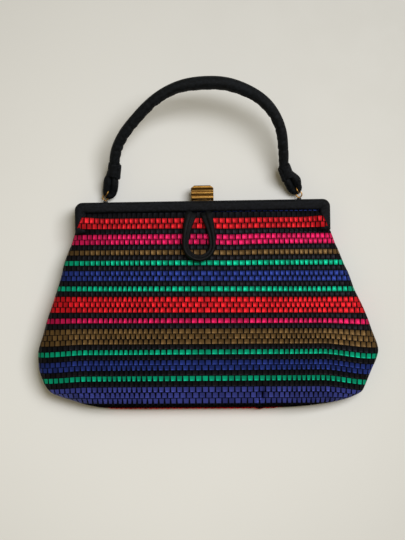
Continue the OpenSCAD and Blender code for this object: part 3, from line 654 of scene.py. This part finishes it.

# Clasp: plate, pin, catch and lever keep their shape and take a brass coloured much darker than the face:
# painted shade for the gap under the tab.
# The lever's tab is pressed from one strip, with two flutes across its foot and a groove under its lip.
# The press leaves a smooth, brushed face that lies over the tab of the solid.
shade_painted_brass, tree, shader = finish("shade_painted_brass", Metallic=1.0)
dirt_and_painted_shade = mottle(tree, surface_place(tree), 300.0, 4.0)
# Both tones are darkened as painted shade for the parts in shadow under the tab, with mottled variation
# between them.
shade_painted_tone = two_tone(tree, between(tree, dirt_and_painted_shade, 0.3, 0.7), linear(44, 32, 17), linear(86, 64, 34))
drive(tree, shader, Base_Color=shade_painted_tone, Roughness=between(tree, dirt_and_painted_shade, 0.3, 0.7, 0.4, 0.6))
clad(shade_painted_brass, "clasp_plate", "clasp_pin", "clasp_catch", "clasp_lever")
tab_low, tab_high, tab_half, tab_level, tab_cut = 98.3, 110.85, 9.7, 10.5, 2.6
face_above, face_below, face_core = 0.15, 1.3, 0.6
along_tab = np.linspace(0, 1, 70)
tab_y = tab_low + (tab_high - tab_low) * along_tab
flute_rows = [(100.5, 1.6, 0.85), (104.3, 1.2, 0.8), (109.4, 1.5, 0.9)]
flutes = sum(high * np.exp(-(((tab_y - at) / wide) ** 4)) for at, wide, high in flute_rows)
face_top, face_under = tab_level + face_above + flutes, np.full(len(tab_y), tab_level - face_below)
section = np.concatenate([np.stack([tab_y, face_top], 1), np.stack([tab_y, face_under], 1)[::-1]])
station = np.concatenate([[-1], np.linspace(-0.985, 0.985, 41), [1]])
to_lip = np.clip((section[:, 0] - tab_high + tab_cut) / tab_cut, 0, 1)
tab_wide = tab_half - tab_cut * ease(0, 1, to_lip**1.2)
pinch = np.where(np.abs(station) > 0.99, 0.75, 1)[:, None]
face_x = station[:, None] * tab_wide[None]
face_y = np.broadcast_to(section[None, :, 0], face_x.shape)
face_z = tab_level - face_core + (section[None, :, 1] - tab_level + face_core) * pinch
face = np.stack([face_x, face_y, face_z], -1)
clasp_face = skin("clasp_face", face, round_way=True, capped=True)
brushed, tree, shader = finish("brushed_brass", Metallic=1.0)
place = surface_place(tree)
stroke_place = add(tree, "ShaderNodeMapping", {"Vector": place, "Scale": (60.0, 2600.0, 400.0)}).outputs[0]
stroke = mottle(tree, stroke_place, 1.0)
worn = mottle(tree, place, 130.0)
clean = reckon(tree, "ADD", reckon(tree, "MULTIPLY", stroke, 0.35), reckon(tree, "MULTIPLY", worn, 0.65))
bright = two_tone(tree, between(tree, clean, 0.3, 0.7), linear(134, 97, 46), linear(158, 119, 60))
up_tab = add(tree, "ShaderNodeSeparateXYZ", {0: place}).outputs[1]
# The groove under the lip and a thin line below it are coloured dark brown: painted shade in these hollows.
groove_shade_masks = []
for at, core, rim in ((106.75, 0.5, 1.15), (102.6, 0.15, 0.6)):
    off_groove = reckon(tree, "ABSOLUTE", reckon(tree, "SUBTRACT", up_tab, at * mm))
    groove_shade_masks.append(between(tree, off_groove, core * mm, rim * mm, 1.0, 0.0))
painted_groove_shade = reckon(tree, "MULTIPLY", reckon(tree, "MAXIMUM", *groove_shade_masks), 0.6)
face_tone = two_tone(tree, painted_groove_shade, bright, linear(44, 29, 13))
drive(tree, shader, Base_Color=face_tone, Roughness=between(tree, stroke, 0.3, 0.7, 0.3, 0.42))
raised(tree, shader, stroke, 0.000008)
clasp_face.data.materials.append(brushed)
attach(clasp_face, "clasp")

# End loops: a padded strap of the handle's silk, folded round each ring with its two legs side by side.
# The fold is pinched at the ring and puffs out below the keeper, with a crease down the middle.
post_x, pivot_y, handle_z = 84.0, 104.365, 5.2
ring_radius, ring_hang, loop_length, keeper_length, handle_lean = 3.4, 1.55, 16.5, 11.5, 22.0
handle_silk = corded_silk("handle_silk", 0.8, (12, 14, 16), 0.1)


def way(angle):
    """Unit directions along and across a handle end that leans by an angle in degrees."""
    a = np.radians(angle)
    return np.array([np.sin(a), np.cos(a), 0]), np.array([np.cos(a), -np.sin(a), 0])


def ring_end(side, lean):
    """Far point of a ring that hangs on its post."""
    return np.array([side * post_x, pivot_y - ring_hang, handle_z]) + 2 * ring_radius * way(lean)[0]


def flow(points, steps):
    """A smooth line through chosen points: each span is a cubic set by its two ends and their neighbours."""
    p = np.concatenate([points[:1], points, points[-1:]])
    u = (np.arange(steps) / steps)[None, :, None]
    a, b, c, d = (p[i: len(p) - 3 + i, None] for i in range(4))
    line = (2 * b + (c - a) * u + (2 * a - 5 * b + 4 * c - d) * u**2 + (3 * b - a - 3 * c + d) * u**3) / 2
    return np.concatenate([line.reshape(-1, points.shape[1]), points[-1:]])


def soften(line, span):
    """A line with its kinks taken out: each point becomes a weighted mean of its neighbours.
    Their number is odd, and past the two ends the end points are repeated."""
    weight = np.hanning(span)
    longer = np.concatenate([np.repeat(line[:1], span // 2, 0), line, np.repeat(line[-1:], span // 2, 0)])
    return np.stack([np.convolve(column, weight / weight.sum(), "valid") for column in longer.T], 1)


def tube(path, wide, high, around, swell=0.0):
    """A rounded section carried along a path: across it by wide, above it by high.
    A swell in mm goes outwards."""
    t = np.gradient(path, axis=0)
    t /= np.linalg.norm(t, axis=1, keepdims=True)
    e = np.cross(t, [0, 0, 1.0])
    e /= np.linalg.norm(e, axis=1, keepdims=True)
    up = np.cross(e, t)
    a = np.linspace(0, 2 * np.pi, around, endpoint=False)[None]
    side, rise = wide[:, None] * np.cos(a), high[:, None] * np.sin(a)
    more = 1 + swell / np.maximum(np.hypot(side, rise), 0.3)
    return path[:, None] + e[:, None] * (side * more)[..., None] + up[:, None] * (rise * more)[..., None]


def stood(grid):
    """The handle's pieces are laid out flat, then turned up from the table about the top wire of the eyes."""
    a = np.radians(handle_lean)
    y, z = grid[..., 1] - pivot_y, grid[..., 2] - handle_z
    turned_y = pivot_y + y * np.cos(a) - z * np.sin(a)
    turned_z = handle_z + y * np.sin(a) + z * np.cos(a)
    return np.stack([grid[..., 0], turned_y, turned_z], -1)


def round_uv(grid):
    """Lengths along and round a tube, in mm."""
    closed = np.concatenate([grid, grid[:, :1]], 1)
    uv = np.stack([stretch(closed, 0), stretch(closed, 1)], -1)
    uv[..., 0] = uv[..., 0].mean(1, keepdims=True)
    return uv


def dress(name, grid, replaces):
    """A closed padded piece of the handle in its silk, with the node that it stands for."""
    made = skin(name, stood(grid), round_uv(grid), round_way=True, capped=True)
    made.data.materials.append(handle_silk)
    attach(made, "handle")
    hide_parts(replaces)


ends = {"left": (-1, 26.0, 14.0), "right": (1, -24.0, -31.0)}
loop_half = np.array([
    (2.4, 16.4, 2.3, 3.1), (2.5, 12.5, 2.5, 3.3), (2.95, 9.0, 3.3, 3.9), (3.05, 5.0, 3.45, 3.8),
    (3.05, 0.8, 3.4, 2.9), (2.7, -3.0, 3.1, 2.5), (1.5, -5.0, 2.8, 2.5)])
loop_tip = [[0, -5.6, 2.8, 2.5]]
for name, (side, lean, tilt) in ends.items():
    hole = ring_end(side, lean)
    along, cross = way(tilt)
    plan = np.concatenate([loop_half * [-1, 1, 1, 1], loop_tip, loop_half[::-1]])
    second_leg = np.arange(len(plan)) > len(loop_half)
    puff = (side > 0) * np.exp(-(((plan[:, 1] - 5) / 3.5) ** 2)) * second_leg
    plan[:, 0] += puff * 0.9 - side * 1.3 * (1 - ease(0, 14, plan[:, 1]))
    plan[:, 2] += puff * 0.7
    plan[:, 1] = np.where(plan[:, 1] < 0, plan[:, 1] * (0.85 - 0.15 * side), plan[:, 1])
    line = flow(plan, 10)
    path = hole + line[:, :1] * cross + line[:, 1:2] * along
    a = np.linspace(0, 2 * np.pi, 32, endpoint=False)[None]
    s = np.linspace(0, 1, len(path))[:, None]
    pucker = 0.1 * np.sin(s * 95 + 2 * np.cos(a)) * np.exp(-(((s - 0.5) / 0.2) ** 2))
    twist = 0.12 * np.sin(9 * s + 2 * a)
    grid = tube(path, line[:, 2], line[:, 3], 32, pucker + twist)
    dress(name + "_loop_cloth", grid, name + "_end_loop")

# Keepers: a band of the same silk wrapped round the handle's end and the two legs of the loop.
# Each is lapped on its inner side and sewn, with its edges turned in.
keeper_middle = {}


def keeper_way(side, tilt):
    """Unit directions along and across a keeper, which leans less than the end loop below it."""
    return way(tilt * 0.75 + side * 3.5)


for name, (side, lean, tilt) in ends.items():
    along, cross = way(tilt)
    further = 1 - side
    start = ring_end(side, lean) + along * (loop_length + 1.25 * further) + cross * 0.3 * further
    keeper_middle[side] = start
    along, cross = keeper_way(side, tilt)
    s = np.concatenate([[-1, -1], np.linspace(-0.99, 0.99, 26), [1, 1]])
    thin = np.concatenate([[0.86, 0.95], 1 - 0.05 * np.abs(np.linspace(-0.99, 0.99, 26)) ** 8, [0.95, 0.86]])
    a = np.linspace(0, 2 * np.pi, 48, endpoint=False)
    sideways = np.sign(np.cos(a)) * np.abs(np.cos(a)) ** 0.8
    upwards = np.sign(np.sin(a)) * np.abs(np.sin(a)) ** 0.85
    rims = np.exp(-(((np.abs(s) - 0.82) / 0.09) ** 2))[:, None]
    wave = thin[:, None] * (1 + 0.012 * np.sin(s[:, None] * 5 + 2 * a[None]) + 0.02 * rims)
    bands = (("_keeper_cloth", 5.2, 4.8, 0.0, 0.0), ("_keeper_lap", 2.4, 4.2, -side * 3.9, 1.7))
    for part, wide, high, shift, drop in bands:
        centre = start + cross * shift + along * (s * keeper_length / 2 - drop)[:, None]
        grid = (centre[:, None] + cross * (wide * wave * sideways[None])[..., None]
                + np.array([0, 0, 1.0]) * (high * wave * upwards[None])[..., None])
        dress(name + part, grid[::-1], name + "_keeper")

# Handle: a cord core in a tube of black corded silk, bent to an uneven arch and thinned into the keepers.
# The tube is seamed along its inner side, and the silk creases across where the arch bends most.
handle_rise = 106.2
arch = np.array([
    (-0.446, 0.44), (-0.425, 0.525), (-0.39, 0.615), (-0.345, 0.7), (-0.285, 0.8), (-0.212, 0.9),
    (-0.13, 0.965), (-0.045, 0.993), (0.05, 1), (0.13, 0.985), (0.215, 0.935), (0.29, 0.86), (0.345, 0.765),
    (0.38, 0.66), (0.398, 0.55), (0.404, 0.455), (0.408, 0.37)])
arch_x = arch[:, 0] * 2 * post_x
arch_x += np.interp(np.arange(len(arch)), [0, 2, 4, 9, 11, 14, 16], [1.5, 1.6, 1.1, 2.0, 2.3, 2.4, 2.0])
arch_y = top_edge + arch[:, 1] * handle_rise - 0.2
in_keeper = np.array([[0.02], [keeper_length / 4], [keeper_length * 0.6]])
starts = [keeper_middle[side] + keeper_way(side, tilt)[0] * in_keeper for side, lean, tilt in ends.values()]
knots = np.concatenate([
    starts[0], np.stack([arch_x, arch_y, np.full(len(arch), handle_z)], 1), starts[1][::-1]])
girth = np.array([
    3.9, 4.1, 4.4, 4.75, 4.75, 4.8, 4.85, 4.85, 4.85, 5.0, 5.6, 5.8, 5.6, 5.45, 5.15, 4.9, 4.7, 4.6, 4.5,
    4.35, 4.1, 4.0, 3.8])[:, None]
line = soften(flow(np.concatenate([knots, girth], 1), 16), 41)
s, a = np.linspace(0, 1, len(line))[:, None], np.linspace(0, 2 * np.pi, 40, endpoint=False)[None]
inner = np.cos(a)
crease_rows = [
    (0.145, 0.004, 0.32, 0.9), (0.17, 0.005, 0.3, 0.6), (0.205, 0.004, 0.22, 1.2), (0.25, 0.006, 0.26, 0.4),
    (0.335, 0.006, 0.4, 0.2), (0.36, 0.005, 0.2, 0.8), (0.62, 0.005, 0.2, 0.5), (0.7, 0.006, 0.3, 0.3),
    (0.745, 0.005, 0.28, 0.9), (0.79, 0.005, 0.22, 0.6), (0.83, 0.004, 0.26, 1.1)]
creases = sum(deep * np.exp(-(((s - at) / wide) ** 2)) * ease(-0.9, 0.3, np.cos(a - faces))
              for at, wide, deep, faces in crease_rows)
seam = 0.3 * np.exp(-(((a - 0.45) / 0.1) ** 2)) * (1 + 0.3 * np.sin(s * 700))
lumps = 0.14 * np.sin(s * 41 + 1.3 * np.sin(a)) * np.sin(s * 17 + a)
gathers = 0.14 * np.sin(s * 190 + 3 * inner) * ease(-0.2, 0.8, inner)
grid = tube(line[:, :3], line[:, 3], line[:, 3], 40, seam + lumps + gathers - 1.6 * creases)
dress("handle_tube", grid, "handle")

# Pull loop: a doubled bias band of the same silk, sewn under the lip of the front half.
# It hangs as a teardrop. Its folded edges stand up as two ridges with a groove between them.
pull_x, pull_top, pull_seen, pull_long, pull_wide = -3.4, 9.6, 11.6, 40.6, 29.0
strand_low, strand_high, pull_gap = 5.8, 9.8, 2.0
pull_round = pull_wide / 2 - strand_low / 2
round_drop = pull_seen + pull_long - pull_round - strand_low / 2
top_half = pull_gap / 2 + strand_high / 2
leg_s = np.linspace(0, 1, 34)[:-1]
leg_out = top_half + (pull_round - top_half) * np.sin(leg_s * np.pi / 2)
leg_line = np.stack([leg_out, pull_top + (round_drop - pull_top) * leg_s], 1)
round_a = np.linspace(0, np.pi, 41)
round_line = np.stack([pull_round * np.cos(round_a), round_drop + pull_round * np.sin(round_a)], 1)
line = np.concatenate([leg_line, round_line, leg_line[::-1] * [-1, 1]])
low = np.clip((line[:, 1] - pull_top) / (round_drop - pull_top), 0, 1)
breadth = (strand_high + (strand_low - strand_high) * ease(0, 1, low) ** 0.8) / 2
height = (2.0 + 2.4 * ease(0, 0.8, low)) / 2
ground_x = pull_x + line[:, 0]
ground = front_point(line[:, 1], (ground_x - middle_x(line[:, 1])) / front_edge(line[:, 1]))[:, 2]
lift = ground + 0.55 + height + 1.6 * ease(0.1, 0.5, low) - 0.9 * (1 - ease(0, 0.12, low))
path = np.stack([ground_x, top_edge - line[:, 1], lift], 1)
a = np.linspace(0, 2 * np.pi, 36, endpoint=False)[None]
upper = ease(0.1, 0.5, np.sin(a))
ridge_rows = [(0.7, 0.2, 0.35), (-0.4, 0.3, 0.75), (0.3, 0.15, -1.1)]
ridge = sum(high * np.exp(-(((np.cos(a) - at) / wide) ** 2)) for at, wide, high in ridge_rows)
grid = tube(path, breadth, height, 36, ridge * upper)
pull_cloth = skin("pull_loop_cloth", grid, round_uv(grid), round_way=True, capped=True)
pull_cloth.data.materials.append(corded_silk("pull_silk", 0.8, (7, 8, 9), 0.15))
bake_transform(pull_cloth)
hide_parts("pull_loop")

# Table, light and view: the bag lies on its back on a pale lacquered table.
# The light is soft, from one wide window at the upper right of a warm, dim room.
# The view is from straight above.
table_half, table_level = 20000, -0.2
table_line = np.linspace(-table_half, table_half, 21)
table_x, table_y = np.meshgrid(table_line, table_line)
table_top = skin("table_top", np.stack([table_x, table_y, np.full_like(table_x, table_level)], -1))
pale, tree, shader = finish("pale_lacquer", Specular_IOR_Level=0.2)
place = surface_place(tree)
# The table is coloured paler round a point near the bag and darker further out: a painted pool of light.
pool_centre_feeds = {0: place, 1: (-0.04, -0.05, 0.0)}
from_pool_centre = add(tree, "ShaderNodeVectorMath", pool_centre_feeds, operation="DISTANCE").outputs["Value"]
painted_light_pool = reckon(tree, "ADD", from_pool_centre, reckon(tree, "MULTIPLY", mottle(tree, place, 3.0, 2.0), 0.08))
pale_with_painted_pool = two_tone(tree, between(tree, painted_light_pool, 0.12, 0.5), linear(225, 223, 216), linear(197, 195, 188))
pale_wear = between(tree, mottle(tree, place, 30.0), 0.3, 0.7, 0.4, 0.5)
drive(tree, shader, Base_Color=pale_with_painted_pool, Roughness=pale_wear)
table_top.data.materials.append(pale)

scene = bpy.context.scene
scene.view_settings.view_transform = "Standard"
scene.world = bpy.data.worlds.new("room")
scene.world.use_nodes = True
room = scene.world.node_tree.nodes["Background"].inputs
room["Color"].default_value = (1.0, 0.88, 0.6, 1)
room["Strength"].default_value = 0.3

window = bpy.data.objects.new("window", bpy.data.lights.new("window", "AREA"))
window.data.shape = "RECTANGLE"
window.data.size, window.data.size_y = 4.0, 2.3
window.data.energy, window.data.color = 288.0, (0.97, 1.0, 1.07)
window.location = (2.2, 1.75, 4.8)
back = (window.location - Vector((0, 0.04, 0))).normalized()
across = Vector((0, 1, 0)).cross(back).normalized()
window.rotation_euler = Matrix((across, back.cross(across), back)).transposed().to_euler()
scene.collection.objects.link(window)

pixel, level, distance, view_high, view_turn = 0.86 * mm, 17 * mm, 1.3, 540, -0.95
bag_right, bag_up = 1, 69
camera = bpy.data.objects.new("view", bpy.data.cameras.new("view"))
camera.data.lens = camera.data.sensor_width * distance / (view_high * pixel)
camera.location = (-bag_right * pixel, top_edge * mm - bag_up * pixel, level + distance)
camera.rotation_euler = (0, 0, np.radians(view_turn))
scene.collection.objects.link(camera)
scene.camera = camera
